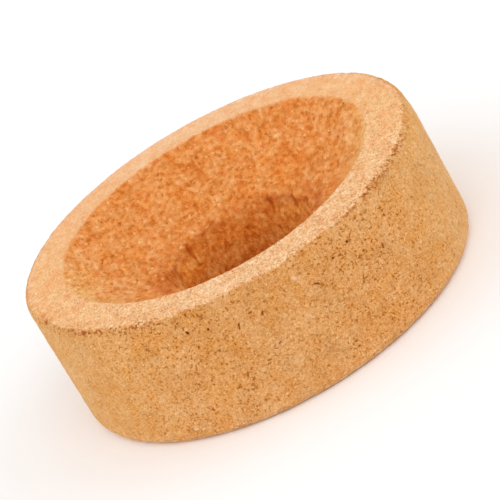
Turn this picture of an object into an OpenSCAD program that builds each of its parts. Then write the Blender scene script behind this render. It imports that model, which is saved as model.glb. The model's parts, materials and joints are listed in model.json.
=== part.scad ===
// Cork ring: the stand that a round-bottomed laboratory flask is set down in.
// One piece of agglomerated cork, turned to a plain cylindrical outside, with a
// hollowed seat that narrows from the mouth to a straight bore.
// Millimetres, +Z up. The origin is the centre of the flat base.

/* [Ring] */
// Outer diameter of the ring
outer_d = 80; // [70:1:110]
// Height from the base to the flat rim
height = 26.5; // [20:0.5:40]
// Width of the flat rim, from the seat's mouth to the outside
rim_w = 8; // [6:0.5:12]

/* [Seat and bore] */
// Depth of the seat, from the rim down to the bore
seat_depth = 10.5; // [6:0.5:14]
// How deep the seat is hollowed, below a straight cone from mouth to bore
seat_hollow = 1.1; // [0.6:0.1:2.5]
// Diameter of the straight bore under the seat
bore_d = 30; // [20:1:34]

/* [Edges] */
// Rounding of the outer edge at the rim
rim_edge_r = 1; // [0.3:0.1:2]
// Rounding of the outer edge at the base
base_edge_r = 1.5; // [0.3:0.1:3]
// Rounding of the inner edge, where the rim turns down into the seat
mouth_edge_r = 1; // [0.3:0.1:2]
// Rounding of the lip, where the seat turns down into the bore
lip_r = 1.2; // [0.3:0.1:2]
// Rounding of the bore's edge at the base
bore_edge_r = 0.8; // [0.3:0.1:2]

/* [Hidden] */

facets = 180;

outer_r = outer_d / 2;
bore_r = bore_d / 2;
mouth_r = outer_r - rim_w;

// The seat's section is one arc from the mouth's edge to the bore's edge, bowed
// down by seat_hollow. The centre of that arc lies up and inward of its chord.
mouth_point = [mouth_r, height];
lip_point = [bore_r, height - seat_depth];
seat_chord = mouth_point - lip_point;
seat_r = (pow(norm(seat_chord) / 2, 2) + pow(seat_hollow, 2)) / (2 * seat_hollow);
seat_inward = [-seat_chord.y, seat_chord.x] / norm(seat_chord);
seat_centre = (mouth_point + lip_point) / 2 + (seat_r - seat_hollow) * seat_inward;

// Centres of the two roundings that meet the seat: each lies in the cork, its
// own radius away from the seat's arc and from the straight side next to it.
mouth_edge_centre = let (z = height - mouth_edge_r)
    [seat_centre.x + leg(seat_r + mouth_edge_r, seat_centre.y - z), z];
lip_centre = let (x = bore_r + lip_r)
    [x, seat_centre.y - leg(seat_r + lip_r, x - seat_centre.x)];

// The other short side of a right triangle
function leg(long_side, side) = sqrt(pow(long_side, 2) - pow(side, 2));

// Where a rounding about this centre touches the seat's arc
function on_seat(centre) =
    seat_centre + seat_r * (centre - seat_centre) / norm(centre - seat_centre);

// A point well past another one, seen from the centre
function beyond(centre, point) = centre + 3 * (point - centre);

// Half section of a plain tube, with its outer corners and its lower inner
// corner rounded
module tube_section() {
    difference() {
        translate([bore_r, 0]) square([outer_r - bore_r, height]);
        translate([outer_r - rim_edge_r, height - rim_edge_r]) square(rim_edge_r);
        translate([outer_r - base_edge_r, 0]) square(base_edge_r);
        translate([bore_r, 0]) square(bore_edge_r);
    }
    quarter_disc([outer_r - rim_edge_r, height - rim_edge_r], rim_edge_r, 0);
    quarter_disc([bore_r + bore_edge_r, bore_edge_r], bore_edge_r, 180);
    quarter_disc([outer_r - base_edge_r, base_edge_r], base_edge_r, 270);
}

module quarter_disc(centre, radius, turn) {
    translate(centre) rotate(turn) intersection() {
        circle(radius, $fn = facets);
        square(radius);
    }
}

// Rounds a corner of its children. What lies past the centre, between the two
// points where the rounding touches its sides, comes off, and a disc goes in.
module rounded_at(corner, centre, radius, touch_a, touch_b) {
    difference() {
        children();
        polygon([
            centre,
            beyond(centre, touch_a),
            beyond(centre, corner),
            beyond(centre, touch_b),
        ]);
    }
    translate(centre) circle(radius, $fn = facets);
}

module ring_section() {
    rounded_at(mouth_point, mouth_edge_centre, mouth_edge_r,
               [mouth_edge_centre.x, height], on_seat(mouth_edge_centre))
    rounded_at(lip_point, lip_centre, lip_r,
               [bore_r, lip_centre.y], on_seat(lip_centre))
    difference() {
        tube_section();
        translate(seat_centre) circle(seat_r, $fn = facets);
    }
}

module ring() {
    color("burlywood") rotate_extrude($fn = facets) ring_section();
}

ring();
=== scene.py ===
"""Looks of the cork ring: pressed cork granules, turned and sanded, with a dished seat over a straight bore.

The ring is worked out in millimetres round the Z axis and stored in metres. Its mesh is rows of points that
follow the section all the way round, moved in and out by granules, torn-out granules and chosen marks. One
cork material covers it, with a finish of its own for each zone of the surface.
"""
import json
import math
import random

import bpy
from mathutils import Matrix, Vector, noise


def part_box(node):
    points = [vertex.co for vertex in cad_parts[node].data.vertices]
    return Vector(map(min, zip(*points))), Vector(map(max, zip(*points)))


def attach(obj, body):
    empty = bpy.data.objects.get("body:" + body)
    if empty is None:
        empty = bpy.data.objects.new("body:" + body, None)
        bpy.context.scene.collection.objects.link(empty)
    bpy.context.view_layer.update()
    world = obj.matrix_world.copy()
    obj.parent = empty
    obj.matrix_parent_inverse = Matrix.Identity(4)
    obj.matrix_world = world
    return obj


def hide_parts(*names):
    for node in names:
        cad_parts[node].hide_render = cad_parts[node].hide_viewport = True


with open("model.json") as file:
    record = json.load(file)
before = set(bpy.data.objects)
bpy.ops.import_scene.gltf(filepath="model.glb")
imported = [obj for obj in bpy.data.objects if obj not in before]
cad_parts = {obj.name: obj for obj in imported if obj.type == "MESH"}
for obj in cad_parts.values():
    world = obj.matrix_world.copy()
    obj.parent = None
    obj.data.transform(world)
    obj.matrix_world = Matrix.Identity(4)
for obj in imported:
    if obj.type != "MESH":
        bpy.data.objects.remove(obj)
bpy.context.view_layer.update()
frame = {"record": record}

MM = 0.001
random.seed(26)


# ------------------------ sizes, in millimetres
def bore_radius():
    """The bore's radius, from the record's mount."""
    for mount in frame["record"]["mounts"]:
        if mount["name"] == "bore":
            return mount["dims"]["r_mm"]
    raise ValueError("the record has no mount named bore")


RING_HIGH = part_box("ring")[1]
OUTER = RING_HIGH.x / MM
HEIGHT = RING_HIGH.z / MM
BORE = bore_radius()
# The solid has these sizes too. Only its base edge is sharper, as the wear on it is left to this mesh.
RIM_WIDTH = 8
SEAT_DEPTH = 10.5
SEAT_HOLLOW = 1.1
RIM_EDGE = 1
BASE_EDGE = 2.2
MOUTH_EDGE = 1
LIP = 1.2
BORE_EDGE = 0.8


# ------------------------ the ring's section
class Stretch:
    """A line or an arc of the section, with the spacing of the mesh on it and the form of its cork.

    place(share) gives the radius, the height and the outward normal at a share of its length.
    """

    def __init__(self, name, length, place, spacing, relief, torn, waver=0.0):
        self.name = name
        self.length = length
        self.place = place
        self.spacing = spacing
        self.relief = relief
        self.torn = torn
        self.waver = waver


def straight(name, start, end, **cork):
    """A line of the section, with the cork on its left."""
    run_r, run_z = end[0] - start[0], end[1] - start[1]
    length = math.hypot(run_r, run_z)
    normal = (run_z / length, -run_r / length)

    def place(share):
        return (start[0] + share * run_r, start[1] + share * run_z, *normal)

    return Stretch(name, length, place, **cork)


def arc(name, centre, radius, first, last, side=1, **cork):
    """An arc between two angles in degrees. Its normal leaves the centre, or with side -1 points to it."""
    turn = math.radians(last - first)

    def place(share):
        angle = math.radians(first) + share * turn
        across, up = math.cos(angle), math.sin(angle)
        return (centre[0] + radius * across, centre[1] + radius * up, side * across, side * up)

    return Stretch(name, abs(turn) * radius, place, **cork)


def direction(centre, point):
    """The angle in degrees at which a point is seen from a centre."""
    return math.degrees(math.atan2(point[1] - centre[1], point[0] - centre[0]))


def ring_section():
    """The whole section: from the wall's foot up, over the rim, down the seat and the bore, and back."""
    mouth = (OUTER - RIM_WIDTH, HEIGHT)
    throat = (BORE, HEIGHT - SEAT_DEPTH)
    chord = math.dist(mouth, throat)
    seat_radius = (chord ** 2 / 4 + SEAT_HOLLOW ** 2) / (2 * SEAT_HOLLOW)
    rise = (seat_radius - SEAT_HOLLOW) / chord
    seat_centre = (
        (mouth[0] + throat[0]) / 2 - rise * (mouth[1] - throat[1]),
        (mouth[1] + throat[1]) / 2 + rise * (mouth[0] - throat[0]),
    )
    mouth_z = HEIGHT - MOUTH_EDGE
    mouth_reach = math.sqrt((seat_radius + MOUTH_EDGE) ** 2 - (seat_centre[1] - mouth_z) ** 2)
    mouth_centre = (seat_centre[0] + mouth_reach, mouth_z)
    lip_r = BORE + LIP
    lip_drop = math.sqrt((seat_radius + LIP) ** 2 - (lip_r - seat_centre[0]) ** 2)
    lip_centre = (lip_r, seat_centre[1] - lip_drop)
    mouth_side = direction(seat_centre, mouth_centre)
    lip_side = direction(seat_centre, lip_centre)
    return [
        straight("wall", (OUTER, BASE_EDGE), (OUTER, HEIGHT - RIM_EDGE),
                 spacing=0.47, relief=0.05, torn=0.02),
        arc("rim edge", (OUTER - RIM_EDGE, HEIGHT - RIM_EDGE), RIM_EDGE, 0, 90,
            spacing=0.25, relief=0.05, torn=0.22),
        straight("rim", (OUTER - RIM_EDGE, HEIGHT), (mouth_centre[0], HEIGHT),
                 spacing=0.37, relief=0.03, torn=0.01),
        arc("mouth edge", mouth_centre, MOUTH_EDGE, 90, 180 + mouth_side,
            spacing=0.26, relief=0.08, torn=0.08),
        arc("seat", seat_centre, seat_radius, mouth_side, lip_side, side=-1,
            spacing=0.36, relief=0.09, torn=0.05),
        arc("lip", lip_centre, LIP, 180 + lip_side, 180, spacing=0.28, relief=0.20, torn=0.10, waver=0.9),
        straight("bore", (BORE, lip_centre[1]), (BORE, BORE_EDGE),
                 spacing=0.45, relief=0.15, torn=0.05, waver=0.25),
        arc("bore edge", (BORE + BORE_EDGE, BORE_EDGE), BORE_EDGE, 180, 270,
            spacing=0.45, relief=0.12, torn=0.15),
        straight("base", (BORE + BORE_EDGE, 0), (OUTER - BASE_EDGE, 0),
                 spacing=1.4, relief=0.03, torn=0.0),
        arc("base edge", (OUTER - BASE_EDGE, BASE_EDGE), BASE_EDGE, -90, 0,
            spacing=0.42, relief=0.06, torn=0.08),
    ]


SECTION = ring_section()
ROUND = sum(stretch.length for stretch in SECTION)
# Where a quality of the cork is read to even it out: so far before and after a place on the section.
BLEND_STEPS = (-0.6, -0.2, 0.2, 0.6)


def start_of(name):
    """How far along the section a stretch starts."""
    along = 0
    for stretch in SECTION:
        if stretch.name == name:
            return along
        along += stretch.length
    raise ValueError(name)


def middle_of(name, share=0.5):
    """How far along the section a share of a stretch is reached."""
    length = next(stretch.length for stretch in SECTION if stretch.name == name)
    return start_of(name) + share * length


def stretch_at(along):
    """The stretch at a distance along the section, and the share of it that is behind."""
    along %= ROUND
    for stretch in SECTION:
        if along < stretch.length:
            return stretch, along / stretch.length
        along -= stretch.length
    return SECTION[0], 0.0


def section_at(along):
    """Radius, height and normal at a distance along the section."""
    stretch, share = stretch_at(along)
    return stretch.place(share)


def blended(along, quality):
    """A quality of the cork, evened out over the joins of the stretches."""
    near = [stretch_at(along + step)[0] for step in BLEND_STEPS]
    return sum(getattr(stretch, quality) for stretch in near) / len(near)


# ------------------------ zones of the surface
# Each zone's limits. The seat lies over the rim and the base, and the bore over the seat.
ZONES = {
    "rim": (middle_of("rim edge", 0.55), middle_of("seat")),
    "base": (middle_of("bore"), middle_of("base edge")),
    "seat": (middle_of("mouth edge", 0.7), middle_of("bore edge", 0.6)),
    "bore": (middle_of("lip"), middle_of("bore edge", 0.6)),
}
# The farthest that a reach into a zone is told.
FARTHEST = 4


def reach_into(zone, along):
    """How far inside a zone a place on the section is, in millimetres, and below zero how far outside."""
    first, last = ZONES[zone]
    return max(-FARTHEST, min(FARTHEST, along - first, last - along))


# ------------------------ chosen marks
def on_wall(height):
    """How far along the section a height on the wall is."""
    return middle_of("wall", (height - BASE_EDGE) / (HEIGHT - BASE_EDGE - RIM_EDGE))


def on_bore(depth):
    """How far along the section a depth below the lip is."""
    return start_of("bore") + depth


def marks_on_wall(marks):
    """Marks whose ends are given by height and angle, with each end as a place on the section instead."""
    return [
        ((on_wall(low), first), (on_wall(high), last), size, amount)
        for (low, first), (high, last), size, amount in marks
    ]


# Pits in the wall: where each starts and ends, as height and angle round the ring in degrees, its width and
# its depth.
PITS = marks_on_wall([
    ((21.85, 293.8), (21.7, 293.9), 0.36, 0.45),
    ((21.1, 288.4), (20.95, 288.5), 0.34, 0.42),
    ((19.2, 280.9), (18.7, 282.0), 0.30, 0.26),
    ((16.7, 302.5), (16.1, 302.3), 0.30, 0.26),
    ((22.05, 246.6), (21.85, 246.7), 0.36, 0.43),
    ((21.3, 252.0), (21.2, 252.1), 0.32, 0.38),
    ((20.8, 263.2), (20.8, 263.7), 0.30, 0.28),
    ((19.9, 266.4), (19.3, 265.7), 0.26, 0.28),
    ((19.8, 259.5), (18.9, 259.1), 0.26, 0.28),
    ((24.2, 251.6), (23.9, 252.0), 0.26, 0.16),
    ((4.3, 249), (3.9, 249), 0.26, 0.14),
    ((12.9, 265.7), (13.1, 266.4), 0.26, 0.22),
    ((12.6, 264.2), (12.3, 264.8), 0.24, 0.16),
    ((11.1, 261.3), (11.0, 262.1), 0.26, 0.20),
])
# Chips and grooves: the same, with each end as distance along the section and angle.
CHIPS = [
    ((start_of("rim") + 0.5, 191.4), (start_of("rim") + 0.3, 193.0), 0.7, 0.36),
    ((start_of("rim") + 0.1, 195.4), (middle_of("rim edge", 0.7), 196.8), 0.8, 0.40),
    ((middle_of("rim edge", 0.3), 215.6), (middle_of("rim edge", 0.5), 216.4), 0.9, 0.5),
    ((middle_of("rim edge", 0.7), 324.6), (middle_of("rim edge", 0.8), 325.6), 0.9, 0.5),
    ((middle_of("rim edge", 0.4), 340), (middle_of("rim edge", 0.6), 340.6), 0.75, 0.4),
]
GROOVES = [
    ((middle_of("lip", 0.5), 128.3), (on_bore(0.8), 127.2), 0.66, 0.30),
    ((on_bore(0.8), 127.2), (on_bore(2.8), 125.8), 0.60, 0.28),
    ((on_bore(2.8), 125.8), (on_bore(4.2), 126.2), 0.54, 0.20),
    ((on_bore(0.8), 152.0), (on_bore(3.0), 148.0), 0.80, 0.25),
    ((middle_of("lip", 0.4), 54.6), (on_bore(1.0), 54.6), 0.62, 0.30),
    ((on_bore(1.0), 54.6), (on_bore(3.0), 56.0), 0.54, 0.23),
    ((middle_of("lip", 0.6), 31.0), (on_bore(0.8), 31.6), 0.80, 0.22),
    ((on_bore(0.8), 31.6), (on_bore(2.0), 33.4), 0.90, 0.28),
    ((middle_of("lip", 0.5), 168), (on_bore(0.8), 171), 0.90, 0.18),
    ((middle_of("lip", 0.7), 12), (on_bore(1.6), 14), 0.90, 0.18),
]


# Keeps a mark that has no length from dividing by nothing.
TINY = 1e-9


def in_space(place):
    """The point on the surface at a place, which is a distance along the section and an angle in degrees."""
    along, angle = place
    radius, height, _, _ = section_at(along)
    turn = math.radians(angle)
    return Vector((radius * math.cos(turn), radius * math.sin(turn), height))


def laid_flat(place, radius):
    """The point of a place on the surface laid flat: the way round at a radius, and the height."""
    along, angle = place
    return Vector((radius * math.radians((angle + 180) % 360 - 180), section_at(along)[1], 0))


def marks_in_space():
    """Every chosen mark as its start, its run to its end, its width and its depth."""
    return [
        (in_space(start), in_space(end) - in_space(start), width, depth)
        for start, end, width, depth in PITS + CHIPS + GROOVES
    ]


def mark_depth(point, mark):
    """How deep one mark is at a point."""
    start, run, width, depth = mark
    share = max(0.0, min(1.0, (point - start).dot(run) / max(run.length_squared, TINY)))
    away = (point - start - share * run).length / width
    return depth * max(0.0, 1 - away * away) ** 2


# ------------------------ relief of the cork
# Granules that shape the surface: each kind's size, and the shift that gives it a pattern of its own.
BIG_GRANULE, BIG_SHIFT = 1.5, 11.3
SMALL_GRANULE, SMALL_SHIFT = 0.8, 47.9
TORN_GRANULE, TORN_SHIFT = 0.55, 83.1
TORN_DEPTH = 0.22
CELL_SPREAD = 57
# How much the big and small granules, the small ones' borders and a slow swell count in the relief.
BIG_SHARE, SMALL_SHARE, BORDER_SHARE, SWELL_SHARE = 0.55, 0.6, 0.5, 0.6
# How wide the soft borders of the granules are, as shares of their sizes.
BIG_BORDER, SMALL_BORDER, GROOVED_BORDER = 0.3, 0.25, 0.35
BORDER_LEVEL = 0.75
SWELL_SIZE = 3.1
WAVER_SIZE, WAVER_DETAIL = 3, 1.3
# Wear: how much there is everywhere, how much the front adds, and how much the front's two sides add to it.
WEAR_EVERYWHERE, WEAR_FRONT, WEAR_SIDES = 0.3, 0.2, 0.5
MOUTH = middle_of("mouth edge")
CORNER = middle_of("rim edge")
# How far the mouth's edge lies outside its circle: waves round the ring, each with its parts along X and Y.
MOUTH_WAVES = [(1, -0.17, 0.19), (2, -0.54, 0.0), (3, 0.0, 0.30)]
# How far the top corner is worn in where it is most worn, and the angle in degrees where that is.
CORNER_WEAR, WORN_AT = 0.45, 345
# How far before and after the mouth's edge and the corner these moves begin and are full.
MOUTH_BEFORE, MOUTH_AFTER = (3.2, 0.6), (7.5, 1.0)
CORNER_BEFORE, CORNER_AFTER = (4.5, 0.5), (3.5, 0.5)


def smooth(low, high, value):
    """A step from 0 to 1 between two values, with soft ends."""
    share = max(0.0, min(1.0, (value - low) / (high - low)))
    return share * share * (3 - 2 * share)


def granule(point, size, shift):
    """The granule at a point: closeness to its middle, distance from its border, and a number of its own.

    The first two are shares of the granule's size. The third is between 0 and 1.
    """
    distances, middles = noise.voronoi((point + Vector((shift, shift, shift))) / size)
    own = 0.5 + 0.5 * noise.cell(middles[0] * CELL_SPREAD)
    return 1 - distances[0], distances[1] - distances[0], own


def wear(turn):
    """How worn the ring is at an angle round it: most at both sides of the front, and little at the back."""
    front = smooth(-0.2, 0.1, -math.sin(turn))
    side = smooth(0.25, 0.6, abs(math.cos(turn)))
    return WEAR_EVERYWHERE + front * (WEAR_FRONT + WEAR_SIDES * side)


def round_place(middle, before, after, along):
    """1 round a place on the section, and 0 beyond the spans before and after it."""
    rising = smooth(middle - before[0], middle - before[1], along)
    return rising * smooth(middle + after[0], middle + after[1], along)


def out_of_round(along, turn):
    """How far the surface lies outside its circle: a wavy mouth, and a top corner worn at one end."""
    mouth = round_place(MOUTH, MOUTH_BEFORE, MOUTH_AFTER, along)
    waves = sum(x * math.cos(count * turn) + y * math.sin(count * turn) for count, x, y in MOUTH_WAVES)
    corner = round_place(CORNER, CORNER_BEFORE, CORNER_AFTER, along)
    worn = smooth(0.74, 0.97, math.cos(turn - math.radians(WORN_AT)))
    return mouth * waves - corner * worn * CORNER_WEAR


def surface_move(point, relief, torn, waver, marks):
    """How far the surface stands out at a point, and how much of that is cork torn away."""
    _, big_border, big_own = granule(point, BIG_GRANULE, BIG_SHIFT)
    _, small_border, small_own = granule(point, SMALL_GRANULE, SMALL_SHIFT)
    rise = BIG_SHARE * (big_own - 0.5) * smooth(0, BIG_BORDER, big_border)
    rise += SMALL_SHARE * (small_own - 0.5) * smooth(0, SMALL_BORDER, small_border)
    rise += BORDER_SHARE * (smooth(0, GROOVED_BORDER, small_border) - BORDER_LEVEL)
    rise += SWELL_SHARE * noise.noise(point / SWELL_SIZE)
    wavering = noise.noise(point / WAVER_SIZE) + 0.5 * noise.noise(point / WAVER_DETAIL)
    near, _, own = granule(point, TORN_GRANULE, TORN_SHIFT)
    gone = TORN_DEPTH * smooth(0.35, 0.75, near) if own < torn else 0.0
    for mark in marks:
        gone = max(gone, mark_depth(point, mark))
    return 2 * relief * rise + waver * wavering - gone, gone


def placed(name, data):
    """A new object in the scene."""
    made = bpy.data.objects.new(name, data)
    bpy.context.scene.collection.objects.link(made)
    return made


# ------------------------ the ring's mesh
# The distance between rows of even triangles, and how far points stray, as shares of their spacing.
ROW_STEP = math.sqrt(0.75)
STRAY = 0.2


def ring_points():
    """Rows of (point, angle) along the section, and each point's place, distance along and torn depth."""
    marks = marks_in_space()
    rows, points, alongs, depths = [], [], [], []
    along = 0
    for stretch in SECTION:
        steps = max(1, round(stretch.length / (stretch.spacing * ROW_STEP)))
        for step in range(steps):
            row_along = along + stretch.length * step / steps
            count = round(2 * math.pi * section_at(row_along)[0] / stretch.spacing)
            relief, torn, waver = (blended(row_along, quality) for quality in ("relief", "torn", "waver"))
            near_marks = marks if stretch.name != "base" else []
            row = []
            for column in range(count):
                place_along = row_along + random.uniform(-STRAY, STRAY) * stretch.spacing
                column_place = column + 0.5 * (len(rows) % 2) + random.uniform(-STRAY, STRAY)
                turn = 2 * math.pi * column_place / count
                radius, height, normal_r, normal_z = section_at(place_along)
                radius += out_of_round(place_along, turn)
                spoke = Vector((math.cos(turn), math.sin(turn), 0))
                point = radius * spoke + Vector((0, 0, height))
                move, gone = surface_move(point, relief, torn * wear(turn), waver, near_marks)
                moved = point + move * (normal_r * spoke + Vector((0, 0, normal_z)))
                moved.z = max(moved.z, 0)
                row.append((len(points), turn))
                points.append(moved * MM)
                alongs.append(place_along)
                depths.append(gone)
            rows.append(row)
        along += stretch.length
    return rows, points, alongs, depths


def stitch(first, second):
    """Triangles between two rows of (point, angle), each taken in turn by its angle."""
    faces = []
    i = j = 0
    while i < len(first) or j < len(second):
        here, there = first[i % len(first)][0], second[j % len(second)][0]
        next_i, turn_i = first[(i + 1) % len(first)]
        next_j, turn_j = second[(j + 1) % len(second)]
        turn_i += 2 * math.pi * ((i + 1) // len(first))
        turn_j += 2 * math.pi * ((j + 1) // len(second))
        if j == len(second) or (i < len(first) and turn_i <= turn_j):
            faces.append((here, next_i, there))
            i += 1
        else:
            faces.append((here, next_j, there))
            j += 1
    return faces


def ring_object():
    """The ring as one closed mesh, with its zones and torn places as attributes."""
    rows, points, alongs, depths = ring_points()
    faces = []
    for first, second in zip(rows, rows[1:] + rows[:1]):
        faces += stitch(first, second)
    mesh = bpy.data.meshes.new("cork_ring")
    mesh.from_pydata(points, [], faces)
    mesh.polygons.foreach_set("use_smooth", [True] * len(mesh.polygons))
    for zone in ZONES:
        values = mesh.attributes.new(zone, "FLOAT", "POINT").data
        values.foreach_set("value", [reach_into(zone, along % ROUND) for along in alongs])
    mesh.attributes.new("torn", "FLOAT", "POINT").data.foreach_set("value", depths)
    mesh.update()
    return placed("cork_ring", mesh)


# ------------------------ materials
def colour(red, green, blue):
    """A colour as it looks on a screen, 0 to 255, as a shader wants it."""

    def linear(value):
        value /= 255
        return value / 12.92 if value <= 0.04045 else ((value + 0.055) / 1.055) ** 2.4

    return (linear(red), linear(green), linear(blue), 1.0)


class Graph:
    """Adds nodes to a material. Each call returns the new node's output."""

    def __init__(self, name):
        self.material = bpy.data.materials.new(name)
        self.material.use_nodes = True
        self.tree = self.material.node_tree
        self.shader = self.tree.nodes["Principled BSDF"]

    def node(self, kind, inputs=None, output=0, **settings):
        made = self.tree.nodes.new(kind)
        for name, value in settings.items():
            setattr(made, name, value)
        for socket, value in (inputs or {}).items():
            self.feed(made.inputs[socket], value)
        return made.outputs[output]

    def feed(self, socket, value):
        if isinstance(value, bpy.types.NodeSocket):
            self.tree.links.new(value, socket)
        else:
            socket.default_value = value

    def attribute(self, name):
        return self.node("ShaderNodeAttribute", output="Fac", attribute_name=name)

    def maths(self, operation, first, second=0.0, third=0.0):
        return self.node("ShaderNodeMath", {0: first, 1: second, 2: third}, operation=operation)

    def times(self, first, second):
        return self.maths("MULTIPLY", first, second)

    def times_plus(self, first, second, third):
        """The first times the second, plus the third."""
        return self.maths("MULTIPLY_ADD", first, second, third)

    def vectors(self, operation, first, second, third=(0.0, 0.0, 0.0)):
        """A vector worked out from others."""
        return self.node("ShaderNodeVectorMath", {0: first, 1: second, 2: third}, operation=operation)

    def measured(self, operation, first, second):
        """A number worked out from two vectors."""
        inputs = {0: first, 1: second}
        return self.node("ShaderNodeVectorMath", inputs, output="Value", operation=operation)

    def scaled(self, vector, scale):
        return self.node("ShaderNodeVectorMath", {0: vector, "Scale": scale}, operation="SCALE")

    def step(self, value, low, high, to_low=0.0, to_high=1.0):
        """A soft step of a value between two limits."""
        inputs = {"Value": value, "From Min": low, "From Max": high, "To Min": to_low, "To Max": to_high}
        return self.node("ShaderNodeMapRange", inputs, interpolation_type="SMOOTHSTEP")

    def fall(self, value, low, high):
        """A soft step down, from 1 to 0."""
        return self.step(value, low, high, 1.0, 0.0)

    def mixed(self, share, first, second, blend="MIX"):
        inputs = {0: share, 6: first, 7: second}
        return self.node("ShaderNodeMix", inputs, output=2, data_type="RGBA", blend_type=blend)

    def ramp(self, value, shades):
        """A colour from shades in even steps, for a value from 0 to 1."""
        made = self.tree.nodes.new("ShaderNodeValToRGB")
        self.feed(made.inputs[0], value)
        elements = made.color_ramp.elements
        while len(elements) < len(shades):
            elements.new(1.0)
        for number, (element, shade) in enumerate(zip(elements, shades)):
            element.position = number / (len(shades) - 1)
            element.color = colour(*shade)
        return made.outputs[0]


# Each finish: how much the coarse, middle and fine granules and the dust count, and its colours from the
# darkest granule to the palest.
FINISHES = {
    "wall": ((0.02, 0.08, 0.38, 1.06), (
        (164, 101, 37), (197, 134, 71), (217, 155, 92), (229, 168, 106), (240, 183, 122), (254, 209, 154),
    )),
    "rim": ((0.05, 0.23, 0.74, 1.50), (
        (197, 137, 86), (226, 169, 117), (240, 185, 133), (247, 194, 143), (252, 205, 157), (255, 221, 182),
    )),
    "seat": ((0.12, 0.62, 0.04, 0.04), (
        (174, 84, 13), (203, 118, 46), (223, 140, 70), (234, 154, 85), (244, 170, 102), (253, 196, 130),
    )),
    "bore": ((0.26, 0.58, 0.10, 0.12), (
        (180, 88, 10), (210, 121, 41), (228, 141, 60), (238, 154, 72), (247, 170, 87), (255, 196, 114),
    )),
}
# Sizes of the granules in the colour, in millimetres, and how soft the middle ones are.
COARSE, MIDDLE, FINE = 1.8, 0.75, 0.28
MIDDLE_SOFTNESS = 0.15
# Scales of the noises, per millimetre.
COARSE_SCALE, DUST_SCALE, PATCH_SCALE, BEND_SCALE = 0.75 / COARSE, 6.5, 0.16, 2.2
BLOB_SCALE, BLOB_SHARE = 1.1, 0.85
DRAWN_BLOB_SCALE = 1.3 * BLOB_SCALE
CLUSTER_SCALE, EDGE_SCALE, BORE_BORDER_SCALE = 0.3, 1.7, 0.5
STREAK_WAY = (1.0, 1.0, 0.6)
# How far the noise bends the grain, and the flat places of the chosen marks.
BEND = (0.9, 0.9, 0.9)
SPOT_BEND = (0.35, 0.35, 0.35)
# The granules lie a little longer along one way, and blobs near the seat's front are drawn out further.
# Below EVEN_BELOW, across the ring, the seat is hidden by the front rim, and its grain is even.
GRAIN_WAY = (0.0, -0.916, 0.402)
GRAIN_STRETCH, DRAWN = 0.55, 0.65
EVEN_BELOW = -11.4
# How far the tone varies in large patches.
PATCHES, WALL_PATCHES = 0.18, 0.42

# The torn colour is partly the torn cork's own colour and partly painted shade in the hollows; the deep one
# is painted shade.
TORN_COLOUR = colour(196, 108, 40)
DEEP_TORN_SHADE = colour(150, 62, 18)
# Painted shade inside the chosen pits, deep ones and shallow ones.
PIT_SHADE = colour(100, 36, 0)
SHALLOW_PIT_SHADE = colour(150, 72, 10)
# Painted shade in the chosen folds of the lip and the bore.
FOLD_SHADE = colour(192, 94, 18)
FLECK_COLOUR = colour(244, 212, 178)
# Darker crumbled cork and painted shade in the notches along the rim's outer edge.
EDGE_SHADE = colour(158, 76, 16)
SEAT_RED = colour(222, 112, 54)
FOOT_RED = colour(222, 128, 66)
WALL_PALE = colour(250, 208, 150)
SEAT_PALE = colour(255, 204, 134)
# Tints by which the cork is multiplied where it is darker or paler. Where it is darker, blue goes down the
# most, so it stays warm.
WALL_DARKER = (0.43, 0.29, 0.11, 1.0)
WALL_SPOT_DARKER = (0.38, 0.24, 0.08, 1.0)
WALL_HALO = (1.05, 0.945, 0.70, 1.0)
# Painted sheen: the wall paler towards its sides, where it is seen at a slant.
WALL_SIDE_SHEEN = (1.0, 1.057, 1.07, 1.0)
# Painted warm side light: the rim more orange towards its sides.
RIM_SIDE_LIGHT = (1.0, 0.935, 0.84, 1.0)
# Painted highlight: the rim paler and bluer to the back, most along its borders there.
RIM_BACK_HIGHLIGHT = (1.0, 1.02, 1.24, 1.0)
SEAT_DARKER = (0.60, 0.43, 0.18, 1.0)
# Painted shade: the seat darker towards its foot.
SEAT_FOOT_SHADE = (0.97, 0.94, 0.88, 1.0)
# Painted sheen: the seat paler near its upper edge, away from the back.
SEAT_EDGE_SHEEN = (1.12, 1.58, 2.0, 1.0)
# Painted shade at both ends of the lip.
LIP_END_SHADE = (0.78, 0.56, 0.42, 1.0)
BORE_DARKER = (0.69, 0.50, 0.17, 1.0)
# Painted shade: the bore darker towards its foot.
BORE_FOOT_SHADE = (0.80, 0.75, 0.74, 1.0)
BORE_SIDE = (1.06, 1.13, 1.14, 1.0)
BORE_LEFT = (1.05, 1.10, 1.12, 1.0)
BORE_RIGHT = (0.98, 0.92, 0.84, 1.0)
# Painted shade in the crevices between the granules.
CREVICE_SHADE = (0.90, 0.86, 0.78, 1.0)
# How far the hue wanders between orange and pale on the wall, in the seat and on the rim.
HUE_OUTSIDE = (0.02, 0.34, 1.05, 1.0)
HUE_INSIDE = (0.02, 0.62, 1.75, 1.0)
HUE_RIM = (0.02, 0.52, 0.95, 1.0)
HUE_SCALE = 0.42
WALL_DRIFT, WALL_DRIFT_SCALE = 0.55, 0.13

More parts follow.
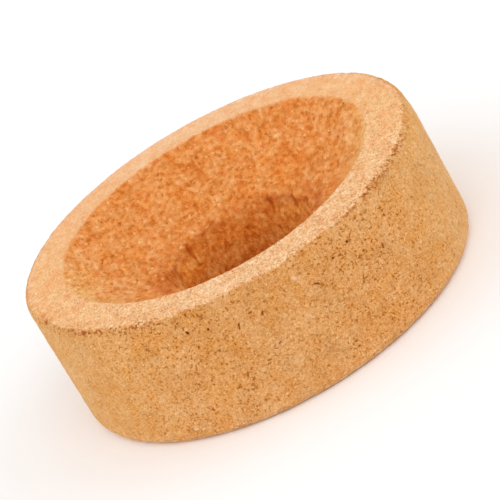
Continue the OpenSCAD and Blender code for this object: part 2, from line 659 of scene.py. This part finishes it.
# Spans over which the look changes, in millimetres: across from front to back, aside from the middle to both
# sides, sideways from left to right, and up.
FRONT_ACROSS = (-35, -20)
WALL_SIDE_ASIDE = (20, 36)
MARKED_UP, MARKED_ASIDE = (15, 23), (2, 12)
FOOT_UP = (1.6, 3.8)
EDGE_ASIDE, EDGE_ACROSS = (13, 24), (-24, -11)
RIM_ACROSS, RIM_SIDE_ASIDE, RIM_BORDER_ASIDE = (-30, 36), (4, 38), (15, 38)
RIM_FAR_ACROSS, RIM_BACK_ACROSS = (-6, 6), (5, 34)
SEAT_FRONT_ACROSS, SEAT_SEEN_ACROSS = (-11, -3), (-16, EVEN_BELOW)
SEAT_FOOT_UP = (15, 25)
SEAT_EDGE_UP, SEAT_EDGE_ACROSS, SEAT_EDGE_SEEN = (17.5, 27), (-10, 19), (-18, EVEN_BELOW)
SEAT_ENDS_ASIDE, SEAT_ENDS_SIDEWAYS = (14, 24), (0, 9)
LIP_END_ALONG, LIP_END_UP, LIP_END_ACROSS = (11.5, 15.5), (16.5, 17.6), (-3, 6)
LIP_WAY = (1.0, -0.25, 0.0)
BORE_FOOT_UP = (5, 14)
BORE_SIDE_ASIDE, BORE_SIDE_SIDEWAYS = (7.5, 12.5), (-14.5, -12.5)
BORE_LEFT_SPANS = ((-5, -9), (-13.5, -12))
BORE_RIGHT_SPANS = ((0, 3), (9, 6))
# Spans of the reach into a zone over which its finish or its marks begin.
RIM_BORDER, BASE_BORDER, SEAT_BORDER, BORE_BORDER = (-0.18, 0.18), (-0.08, 0.08), (-0.25, 0.35), (-1.2, 2.8)
RIM_FAR_BORDER = (2.2, 0.8)
EDGE_START, EDGE_END = (-1.3, -0.4), (0.4, 0.9)
FOLD_BORDER = (-1.5, -1.0)
# Spans of the torn depth over which the cork is torn and deeply torn.
TORN_SPAN, DEEP_SPAN = (0.03, 0.2), (0.22, 0.4)

# Scattered specks: their size, the share of places that have one, the shift of their pattern, and how far
# from its middle one is gone and is full, as shares of its size.
WALL_SPOTS = (0.8, 0.60, 15.9, 0.34, 0.08)
WALL_SPOT_HALOS = (0.8, 0.60, 15.9, 0.52, 0.2)
WALL_PALE_SPECKS = (0.5, 0.10, 9.1)
FOOT_RED_SPECKS = (1.0, 0.42, 5.3, 0.5, 0.1)
FOOT_PALE_SPECKS = (0.55, 0.22, 7.7)
SEAT_RED_SPECKS = (1.5, 0.25, 71.3, 0.55, 0.2)
SEAT_DARK_SPECKS = (1.0, 0.10, 21.3, 0.45, 0.1)
SEAT_SMALL_DARK_SPECKS = (0.5, 0.07, 22.5)
SEAT_END_SPECKS = (0.9, 0.16, 24.7, 0.42, 0.12)
SEAT_PALE_SPECKS = (0.8, 0.12, 31.9, 0.42, 0.15)
SEAT_SMALL_PALE_SPECKS = (0.5, 0.05, 33.1)
BORE_PALE_SPECKS = (0.6, 0.06, 61.9)
# Short dark lines: the size of their granules, their width as a share of it, how rare they are, and their
# pattern's shift.
WALL_LINES = (0.6, 0.2, 0.60, 3.7)
WALL_LINE_HALOS = (0.6, 0.34, 0.56, 3.7)
BORE_LINES = (0.9, 0.16, 0.52, 51.3)
WALL_LINE_STRENGTH = 0.95
# How much the wall is marked at the front's middle, and the span of the noise over which the rim's edge
# turns dark with painted shade.
QUIET = 0.68
EDGE_NOISE = (0.53, 0.58)

# Chosen pits, whose dark colour is painted shade: how far their colour reaches, the share of that where it
# is full, the depth from which one is dark, and the depth at which a shallow one has its full strength.
PIT_SPREAD, PIT_CORE, DARK_FROM, SHALLOW_FULL = 0.85, 0.4, 0.3, 0.26
# Chosen grooves, whose dark colour is painted shade in the folds: the same, with the depth at which a fold
# has its full strength.
FOLD_SPREAD, FOLD_CORE, FOLD_FULL, FOLD_STRENGTH, FOLD_CURVE = 0.9, 0.3, 0.30, 0.72, 1.3
# Chosen pale flecks: where each starts and ends, as for the pits, its size and its strength.
FLECKS = marks_on_wall([
    ((22.5, 277.0), (22.2, 277.3), 0.56, 0.66),
    ((3.0, 233.8), (3.0, 234.6), 0.38, 0.8),
    ((2.8, 236.2), (2.8, 236.7), 0.32, 0.7),
])
BUMP_STRENGTH, BUMP_HEIGHT = 0.5, 0.05
ROUGHNESS = (0.75, 0.92)
# The shader's inputs that make the surface dull, with a light nap.
NAP = {
    "Specular IOR Level": 0.1,
    "Sheen Weight": 0.25,
    "Sheen Tint": (1.0, 0.8, 0.45, 1.0),
    "Sheen Roughness": 0.35,
}


class Cork(Graph):
    """The cork's material: where a point is, the grain that all zones share, and each zone's own colour."""

    def __init__(self):
        super().__init__("cork")
        self.find_place()
        self.find_grain()
        self.find_granules()
        self.find_zones()

    def find_place(self):
        """Where a point is in the ring, in millimetres, and the angle round it."""
        place = self.node("ShaderNodeTexCoord", output="Object")
        self.place = self.scaled(place, 1 / MM)
        self.sideways, self.across, self.height = (
            self.node("ShaderNodeSeparateXYZ", {0: self.place}, output=axis) for axis in "XYZ"
        )
        self.aside = self.maths("ABSOLUTE", self.sideways)
        self.turn = self.maths("ARCTAN2", self.across, self.sideways)

    def find_grain(self):
        """The place with the grain's stretch in it, and the same place bent and drawn out."""
        depth = self.measured("DOT_PRODUCT", self.place, GRAIN_WAY)
        depth = self.times(depth, -GRAIN_STRETCH)
        even_part = self.maths("LESS_THAN", self.across, EVEN_BELOW)
        in_seat = self.maths("GREATER_THAN", self.attribute("seat"), 0.0)
        even_part = self.times(even_part, in_seat)
        depth = self.times(depth, self.maths("SUBTRACT", 1.0, even_part))
        self.grain = self.vectors("ADD", self.place, self.scaled(GRAIN_WAY, depth))
        bend = {"Vector": self.grain, "Scale": BEND_SCALE, "Detail": 1.0}
        bend = self.node("ShaderNodeTexNoise", bend, output="Color")
        self.bend = self.vectors("SUBTRACT", bend, (0.5, 0.5, 0.5))
        self.bent = self.vectors("MULTIPLY_ADD", self.bend, BEND, self.grain)
        drawn = self.scaled(GRAIN_WAY, self.times(depth, DRAWN))
        self.drawn = self.vectors("ADD", self.bent, drawn)
        self.rolled = {radius: self.rolled_out(radius) for radius in (OUTER, BORE)}

    def find_granules(self):
        """The granules of three sizes and the dust, with the seat's clumps and the bore's streaks."""
        granules = self.voronoi(MIDDLE, self.bent, feature="SMOOTH_F1")
        granules.inputs["Smoothness"].default_value = MIDDLE_SOFTNESS
        self.middle = self.own_shade(granules)
        self.middle_border = self.borders(MIDDLE, self.bent)
        self.coarse = self.spread(self.noise_at(COARSE_SCALE, 2.0))
        self.fine = self.own_shade(self.voronoi(FINE, self.bent))
        self.dust = self.noise_at(DUST_SCALE)
        self.patches = self.noise_at(PATCH_SCALE, 3.0)
        near_front = self.fall(self.across, *SEAT_FRONT_ACROSS)
        self.near_front = self.times(near_front, self.step(self.across, *SEAT_SEEN_ACROSS))
        blobs = self.spread(self.noise_at(BLOB_SCALE, 2.0, self.bent, 0.52))
        drawn_blobs = self.spread(self.noise_at(DRAWN_BLOB_SCALE, 2.0, self.drawn, 0.6))
        blobs = self.node("ShaderNodeMix", {0: self.near_front, 2: blobs, 3: drawn_blobs}, data_type="FLOAT")
        granular = self.times_plus(self.near_front, -0.8, 1.0)
        granular = self.times(self.middle, granular)
        granular = self.times(granular, 1 - BLOB_SHARE)
        self.clumps = self.times_plus(blobs, BLOB_SHARE, granular)
        streak_place = self.vectors("MULTIPLY", self.bent, STREAK_WAY)
        self.streaks = self.spread(self.noise_at(1 / MIDDLE, 2.0, streak_place))

    def find_zones(self):
        """How far a point is in each zone, with borders that the granules make ragged."""
        jag = self.times_plus(self.middle, 0.4, -0.2)
        self.jag = self.times_plus(self.dust, 1.2, self.maths("SUBTRACT", jag, 0.6))
        self.rim_zone = self.zone("rim", RIM_BORDER, self.step(self.aside, *RIM_BORDER_ASIDE, 0.25, -0.6))
        self.base_zone = self.zone("base", BASE_BORDER)
        self.seat_zone = self.zone("seat", SEAT_BORDER)
        bore_shift = self.times_plus(self.noise_at(BORE_BORDER_SCALE), 5.0, -2.5)
        self.bore_zone = self.zone("bore", BORE_BORDER, bore_shift)
        covered = self.maths("MAXIMUM", self.rim_zone, self.base_zone)
        self.outside = self.maths("SUBTRACT", 1.0, covered)
        self.front = self.fall(self.across, *FRONT_ACROSS)

    def zone(self, name, border, shift=0.0):
        """1 inside a zone and 0 outside it."""
        reach = self.maths("ADD", self.attribute(name), self.jag)
        return self.step(self.maths("ADD", reach, shift), *border)

    def rolled_out(self, radius):
        """The surface at a radius laid flat, a little bent: the way round it, and the height."""
        flat_place = {"X": self.times(self.turn, radius), "Y": self.height}
        flat_place = self.node("ShaderNodeCombineXYZ", flat_place)
        return self.vectors("MULTIPLY_ADD", self.bend, SPOT_BEND, flat_place)

    def moved(self, shift):
        """Other places of the same pattern."""
        return self.vectors("ADD", self.bent, (shift, shift, shift))

    def voronoi(self, size, vector, **settings):
        """Granules of a size. It returns the node, as its outputs are several."""
        made = self.tree.nodes.new("ShaderNodeTexVoronoi")
        for name, value in settings.items():
            setattr(made, name, value)
        self.feed(made.inputs["Vector"], vector)
        self.feed(made.inputs["Scale"], 1 / size)
        return made

    def own_shade(self, made):
        """A number of each granule's own."""
        return self.node("ShaderNodeSeparateColor", {0: made.outputs["Color"]})

    def borders(self, size, vector):
        """The distance from the nearest granule's border, as a share of a size."""
        return self.voronoi(size, vector, feature="DISTANCE_TO_EDGE").outputs["Distance"]

    def noise_at(self, scale, detail=1.0, vector=None, roughness=0.5):
        """A noise, in the grain's place if no other is given."""
        vector = self.grain if vector is None else vector
        inputs = {"Vector": vector, "Scale": scale, "Detail": detail, "Roughness": roughness}
        return self.node("ShaderNodeTexNoise", inputs)

    def spread(self, noise_value):
        """A noise's middle part, spread from 0 to 1."""
        return self.step(noise_value, 0.3, 0.7)

    def specks(self, size, share, shift, gone=0.42, full=0.25):
        """Scattered specks: 1 inside one, where a share of the places of a size has one."""
        made = self.voronoi(size, self.moved(shift))
        present = self.maths("LESS_THAN", self.own_shade(made), share)
        return self.times(present, self.fall(made.outputs["Distance"], full, gone))

    def lines(self, size, width, rare, shift):
        """Short dark lines: parts of the granules' borders."""
        near = self.fall(self.borders(size, self.moved(shift)), width * 0.3, width)
        kept = self.noise_at(1.1 / size, 0.0, self.moved(shift))
        return self.times(near, self.step(kept, rare, rare + 0.08))

    def finish(self, name, strength=1.0, large=None, patchy=PATCHES):
        """A zone's colour by its granules. The strength is that of the fine ones and the dust."""
        weights, shades = FINISHES[name]
        large = self.middle if large is None else large
        tone = self.times_plus(self.patches, patchy, 0.5 - patchy / 2 - sum(weights[:2]) / 2)
        tone = self.times_plus(self.coarse, weights[0], tone)
        tone = self.times_plus(large, weights[1], tone)
        small = self.times_plus(self.fine, weights[2], -sum(weights[2:]) / 2)
        small = self.times_plus(self.dust, weights[3], small)
        return self.ramp(self.times_plus(small, strength, tone), shades)

    def layer(self, under, shade, place_share, strength=1.0, blend="MIX"):
        """A colour with a shade laid over it, where a share says and at a strength."""
        return self.mixed(self.times(place_share, strength), under, shade, blend)

    def tinted(self, under, tint, share):
        """A colour multiplied by a tint, as far as a share says."""
        return self.mixed(share, under, tint, "MULTIPLY")

    def rim_colour(self):
        """Pale and sanded, with its grain weaker to the back, painted warm side light at its sides, and
        paler to the back with a painted highlight along its borders there.
        """
        rim = self.finish("rim", self.step(self.across, *RIM_ACROSS, 1.08, 0.27))
        rim = self.tinted(rim, RIM_SIDE_LIGHT, self.step(self.aside, *RIM_SIDE_ASIDE))
        far_border = self.step(self.attribute("rim"), *RIM_FAR_BORDER)
        far_border = self.times(self.step(self.across, *RIM_FAR_ACROSS), far_border)
        back = self.step(self.across, *RIM_BACK_ACROSS, 0.0, 0.3)
        return self.tinted(rim, RIM_BACK_HIGHLIGHT, self.times_plus(far_border, 0.8, back))

    def wall_colour(self):
        """Fine-grained, with painted sheen paler at its sides, dark lines and spots that halos surround, and
        pale specks.
        """
        wall = self.finish("wall", self.times_plus(self.front, 0.3, 0.7), patchy=WALL_PATCHES)
        wall = self.tinted(wall, WALL_SIDE_SHEEN, self.step(self.aside, *WALL_SIDE_ASIDE))
        marked = self.step(self.noise_at(CLUSTER_SCALE, 2.0), 0.38, 0.62, 0.6, 0.95)
        marked = self.maths("ADD", marked, self.step(self.height, *MARKED_UP, 0.0, 0.1))
        marked = self.times(marked, self.step(self.aside, *MARKED_ASIDE, QUIET, 1.0))
        marked = self.times(marked, self.outside)
        marked = self.times(marked, self.times_plus(self.front, 0.5, 0.5))
        wall = self.layer(wall, WALL_HALO, self.lines(*WALL_LINE_HALOS), marked, "MULTIPLY")
        wall = self.layer(wall, WALL_HALO, self.specks(*WALL_SPOT_HALOS), marked, "MULTIPLY")
        dark_lines = self.times(self.lines(*WALL_LINES), WALL_LINE_STRENGTH)
        wall = self.layer(wall, WALL_DARKER, dark_lines, marked, "MULTIPLY")
        wall = self.layer(wall, WALL_SPOT_DARKER, self.specks(*WALL_SPOTS), marked, "MULTIPLY")
        pale = self.times(self.specks(*WALL_PALE_SPECKS), self.outside)
        return self.with_foot(self.layer(wall, WALL_PALE, pale, 0.6))

    def with_foot(self, wall):
        """The wall's colour with the red and pale strip at its foot."""
        foot = self.fall(self.height, *FOOT_UP)
        wall = self.layer(wall, WALL_PALE, foot, 0.12)
        wall = self.layer(wall, FOOT_RED, self.times(self.specks(*FOOT_RED_SPECKS), foot), 0.9)
        return self.layer(wall, WALL_PALE, self.times(self.specks(*FOOT_PALE_SPECKS), foot), 0.8)

    def with_edge_shade(self, under):
        """A colour with dark places along the rim's crumbled outer edge, most at the sides of the front:
        darker cork and painted shade in its notches.
        """
        near_edge = self.fall(self.attribute("rim"), *EDGE_END)
        near_edge = self.times(self.step(self.attribute("rim"), *EDGE_START), near_edge)
        dark = self.step(self.noise_at(EDGE_SCALE, 1.5, self.moved(13.7), 0.6), *EDGE_NOISE)
        dark = self.times(dark, near_edge)
        dark = self.times(dark, self.step(self.across, *EDGE_ACROSS, 1.0, 0.25))
        sides = self.step(self.aside, *EDGE_ASIDE)
        return self.layer(under, EDGE_SHADE, dark, self.times_plus(sides, 0.7, 0.15))

    def seat_colour(self):
        """Coarser and redder, with painted shade towards its foot and at the lip's ends, painted sheen near
        its upper edge, and red, dark and pale specks.
        """
        seat = self.finish("seat", large=self.clumps)
        seat = self.tinted(seat, SEAT_FOOT_SHADE, self.fall(self.height, *SEAT_FOOT_UP))
        edge_sheen = self.fall(self.across, *SEAT_EDGE_ACROSS)
        edge_sheen = self.times(self.step(self.height, *SEAT_EDGE_UP), edge_sheen)
        edge_sheen = self.times(edge_sheen, self.step(self.across, *SEAT_EDGE_SEEN, 0.45, 1.0))
        seat = self.tinted(seat, SEAT_EDGE_SHEEN, edge_sheen)
        seat = self.tinted(seat, LIP_END_SHADE, self.lip_end_shade())
        red = self.times_plus(self.near_front, -0.45, 0.45)
        seat = self.layer(seat, SEAT_RED, self.specks(*SEAT_RED_SPECKS), red)
        for specks in (SEAT_DARK_SPECKS, SEAT_SMALL_DARK_SPECKS):
            seat = self.layer(seat, SEAT_DARKER, self.specks(*specks), 0.8, "MULTIPLY")
        ends = self.step(self.aside, *SEAT_ENDS_ASIDE, 0.0, 0.8)
        ends = self.times(ends, self.step(self.sideways, *SEAT_ENDS_SIDEWAYS, 1.0, 0.6))
        seat = self.layer(seat, SEAT_DARKER, self.specks(*SEAT_END_SPECKS), ends, "MULTIPLY")
        seat = self.layer(seat, SEAT_PALE, self.specks(*SEAT_PALE_SPECKS), 0.6)
        return self.layer(seat, SEAT_PALE, self.specks(*SEAT_SMALL_PALE_SPECKS), 0.5)

    def lip_end_shade(self):
        """Where painted shade darkens both ends of the lip."""
        along = self.maths("ABSOLUTE", self.measured("DOT_PRODUCT", self.place, LIP_WAY))
        low = self.fall(self.height, *LIP_END_UP)
        ends = self.times(self.step(along, *LIP_END_ALONG), low)
        return self.times(ends, self.step(self.across, *LIP_END_ACROSS, 1.0, 0.5))

    def bore_colour(self):
        """Dark and streaky, with painted shade darker to its foot, darker right of its middle, and paler at
        its sides.
        """
        bore = self.finish("bore", large=self.streaks)
        bore = self.layer(bore, BORE_DARKER, self.lines(*BORE_LINES), 0.6, "MULTIPLY")
        bore = self.layer(bore, SEAT_PALE, self.specks(*BORE_PALE_SPECKS), 0.5)
        bore = self.tinted(bore, BORE_FOOT_SHADE, self.fall(self.height, *BORE_FOOT_UP))
        side = self.step(self.sideways, *BORE_SIDE_SIDEWAYS)
        side = self.times(self.step(self.aside, *BORE_SIDE_ASIDE), side)
        bore = self.tinted(bore, BORE_SIDE, side)
        for tint, spans in ((BORE_LEFT, BORE_LEFT_SPANS), (BORE_RIGHT, BORE_RIGHT_SPANS)):
            first, last = (self.step(self.sideways, *span) for span in spans)
            bore = self.tinted(bore, tint, self.times(first, last))
        return bore

    def with_relief(self, under):
        """A colour with the torn places, darker cork with painted shade in them, and painted shade in the
        crevices between the granules.
        """
        torn = self.attribute("torn")
        under = self.layer(under, TORN_COLOUR, self.step(torn, *TORN_SPAN), 0.4)
        deep = self.times(self.step(torn, *DEEP_SPAN), self.step(self.middle, 0.1, 0.7, 1.0, 0.6))
        under = self.layer(under, DEEP_TORN_SHADE, deep, 0.7)
        crevice_shade = self.fall(self.middle_border, 0.0, 0.12)
        outside_seat = self.times_plus(self.seat_zone, -0.6, 1.0)
        return self.tinted(under, CREVICE_SHADE, self.times(crevice_shade, outside_seat))

    def with_hue(self, under):
        """A colour whose hue wanders between orange and pale, calmer near the seat's front."""
        wander = self.maths("SUBTRACT", self.noise_at(HUE_SCALE, 2.0, roughness=0.6), 0.5)
        calm = self.times(self.near_front, self.seat_zone)
        wander = self.times(wander, self.times_plus(calm, -0.6, 1.0))
        drift = self.noise_at(WALL_DRIFT_SCALE, 1.0, self.moved(29.3))
        drift = self.times_plus(drift, WALL_DRIFT, -WALL_DRIFT / 2)
        wander = self.times_plus(drift, self.outside, wander)
        reach = self.mixed(self.rim_zone, HUE_OUTSIDE, HUE_RIM)
        reach = self.mixed(self.seat_zone, reach, HUE_INSIDE)
        hue = self.vectors("ADD", self.scaled(reach, wander), (1.0, 1.0, 1.0))
        return self.tinted(under, hue, 1.0)

    def mark(self, under, ends, radius, size, core, shade, strength):
        """A colour with a chosen line laid over it: full up to a share of its size, and gone at its size."""
        start, end = (laid_flat(place, radius) for place in ends)
        run = end - start
        away = self.vectors("SUBTRACT", self.rolled[radius], start)
        share = self.measured("DOT_PRODUCT", away, run / max(run.length_squared, TINY))
        share = self.node("ShaderNodeClamp", {0: share})
        away = self.measured("DISTANCE", away, self.scaled(run, share))
        return self.mixed(self.step(away, size * core, size, strength, 0.0), under, shade)

    def with_marks(self, under):
        """A colour with painted shade in the chosen pits and folds, and the pale flecks."""
        for start, end, width, deep in PITS:
            if deep > DARK_FROM:
                shade, strength = PIT_SHADE, 1.0
            else:
                shade, strength = SHALLOW_PIT_SHADE, min(1.0, deep / SHALLOW_FULL)
            under = self.mark(under, (start, end), OUTER, width * PIT_SPREAD, PIT_CORE, shade, strength)
        folds = under
        for start, end, width, deep in GROOVES:
            strength = min(1.0, deep / FOLD_FULL) ** FOLD_CURVE * FOLD_STRENGTH
            size = width * FOLD_SPREAD
            folds = self.mark(folds, (start, end), BORE, size, FOLD_CORE, FOLD_SHADE, strength)
        under = self.mixed(self.step(self.attribute("bore"), *FOLD_BORDER), under, folds)
        for start, end, size, strength in FLECKS:
            under = self.mark(under, (start, end), OUTER, size, 0.0, FLECK_COLOUR, strength)
        return under

    def add_surface(self):
        """Fine bumps, and a dull surface with a light nap."""
        bumps = self.times_plus(self.step(self.middle_border, 0.0, 0.22), 0.5, self.middle)
        bumps = self.times_plus(self.fine, 0.6, bumps)
        bumps = self.times_plus(self.dust, 0.6, bumps)
        bump = {"Strength": BUMP_STRENGTH, "Distance": BUMP_HEIGHT * MM, "Height": bumps}
        self.feed(self.shader.inputs["Normal"], self.node("ShaderNodeBump", bump))
        self.feed(self.shader.inputs["Roughness"], self.step(self.fine, 0.0, 1.0, *ROUGHNESS))
        for name, value in NAP.items():
            self.shader.inputs[name].default_value = value


def cork_material():
    """Cork: each zone's colour in its place, then what lies over all of them."""
    cork = Cork()
    rim = cork.rim_colour()
    shade = cork.mixed(cork.rim_zone, cork.wall_colour(), rim)
    shade = cork.mixed(cork.base_zone, shade, rim)
    shade = cork.with_edge_shade(shade)
    shade = cork.mixed(cork.seat_zone, shade, cork.seat_colour())
    shade = cork.mixed(cork.bore_zone, shade, cork.bore_colour())
    shade = cork.with_relief(shade)
    shade = cork.with_hue(shade)
    shade = cork.with_marks(shade)
    cork.feed(cork.shader.inputs["Base Color"], shade)
    cork.add_surface()
    return cork.material


# ------------------------ floor, light and camera
WORLD_LEVEL = 0.75
FLOOR_SHADE = 0.95
FLOOR_REACH = 6
# Each lamp: where it shines from, and the level that it adds to a surface that faces it.
LAMPS = {
    "front": (Vector((0, -0.8, 0.9)), 0.20),
    "left": (Vector((-1, 0, 0.55)), 0.16),
    "right": (Vector((1, 0, 0.55)), 0.16),
}
# How wide each lamp looks from the ring, in degrees.
LAMP_WIDTH = 60


def white_to_camera(tree, strength):
    """A share of 1 where a ray is seen, mirrored or let through, and strength where it only lights."""
    rays = tree.nodes.new("ShaderNodeLightPath")
    seen = rays.outputs["Is Camera Ray"]
    for name in ("Is Glossy Ray", "Is Transmission Ray"):
        either = tree.nodes.new("ShaderNodeMath")
        either.operation = "MAXIMUM"
        tree.links.new(seen, either.inputs[0])
        tree.links.new(rays.outputs[name], either.inputs[1])
        seen = either.outputs[0]
    level = tree.nodes.new("ShaderNodeMapRange")
    tree.links.new(seen, level.inputs["Value"])
    level.inputs["To Min"].default_value = strength
    level.inputs["To Max"].default_value = 1.0
    return level.outputs[0]


def add_light():
    """An even white sky, and three weak, wide lamps."""
    world = bpy.data.worlds.new("studio")
    world.use_nodes = True
    background = world.node_tree.nodes["Background"]
    background.inputs["Color"].default_value = (1, 1, 1, 1)
    world.node_tree.links.new(white_to_camera(world.node_tree, WORLD_LEVEL), background.inputs["Strength"])
    bpy.context.scene.world = world
    for name, (shines_from, level) in LAMPS.items():
        light = bpy.data.lights.new(name, "SUN")
        light.energy = level * math.pi
        light.angle = math.radians(LAMP_WIDTH)
        placed(name, light).rotation_euler = shines_from.to_track_quat("Z", "Y").to_euler()


def add_floor():
    """A plain white floor."""
    graph = Graph("floor")
    graph.feed(graph.shader.inputs["Base Color"], white_to_camera(graph.tree, FLOOR_SHADE))
    graph.shader.inputs["Roughness"].default_value = 1
    graph.shader.inputs["Specular IOR Level"].default_value = 0
    reach = FLOOR_REACH
    corners = [(-reach, -reach, 0), (reach, -reach, 0), (reach, reach, 0), (-reach, reach, 0)]
    mesh = bpy.data.meshes.new("floor")
    mesh.from_pydata(corners, [], [(0, 1, 2, 3)])
    mesh.materials.append(graph.material)
    floor = placed("floor", mesh)


# The camera: its height and its roll in degrees, and the place of the rim's middle as it sees it, to the
# right, up and towards it, in millimetres.
CAMERA_HEIGHT_ANGLE = 23.70
CAMERA_ROLL = -30.10
CAMERA_OFFSET = (-6.653, 9.797, -552.22)
# Its focal length and its frame in pixels, its sensor in millimetres, and how far it sees, in metres.
FOCAL_PIXELS = 3000
FRAME_PIXELS = 500
SENSOR = 36
FARTHEST_SEEN = 10


def add_camera():
    """A long lens from the front, a little above, rolled as the view has it."""
    height_angle, roll = math.radians(CAMERA_HEIGHT_ANGLE), math.radians(CAMERA_ROLL)
    right = Vector((1, 0, 0))
    up = Vector((0, math.sin(height_angle), math.cos(height_angle)))
    back = Vector((0, -math.cos(height_angle), math.sin(height_angle)))
    rolled_right = math.cos(roll) * right + math.sin(roll) * up
    rolled_up = math.cos(roll) * up - math.sin(roll) * right
    across, above, behind = CAMERA_OFFSET
    place = Vector((0, 0, HEIGHT)) - across * rolled_right - above * rolled_up - behind * back
    camera = placed("camera", bpy.data.cameras.new("camera"))
    axes = Matrix((rolled_right, rolled_up, back)).transposed().to_4x4()
    camera.matrix_world = Matrix.Translation(place * MM) @ axes
    camera.data.sensor_width = SENSOR
    camera.data.lens = FOCAL_PIXELS / FRAME_PIXELS * SENSOR
    camera.data.clip_end = FARTHEST_SEEN
    bpy.context.scene.camera = camera


# ------------------------ the scene
add_camera()
add_light()
add_floor()
cork_ring = ring_object()
cork_ring.data.materials.append(cork_material())
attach(cork_ring, "root")
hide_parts("ring")
bpy.context.scene.view_settings.view_transform = "Standard"
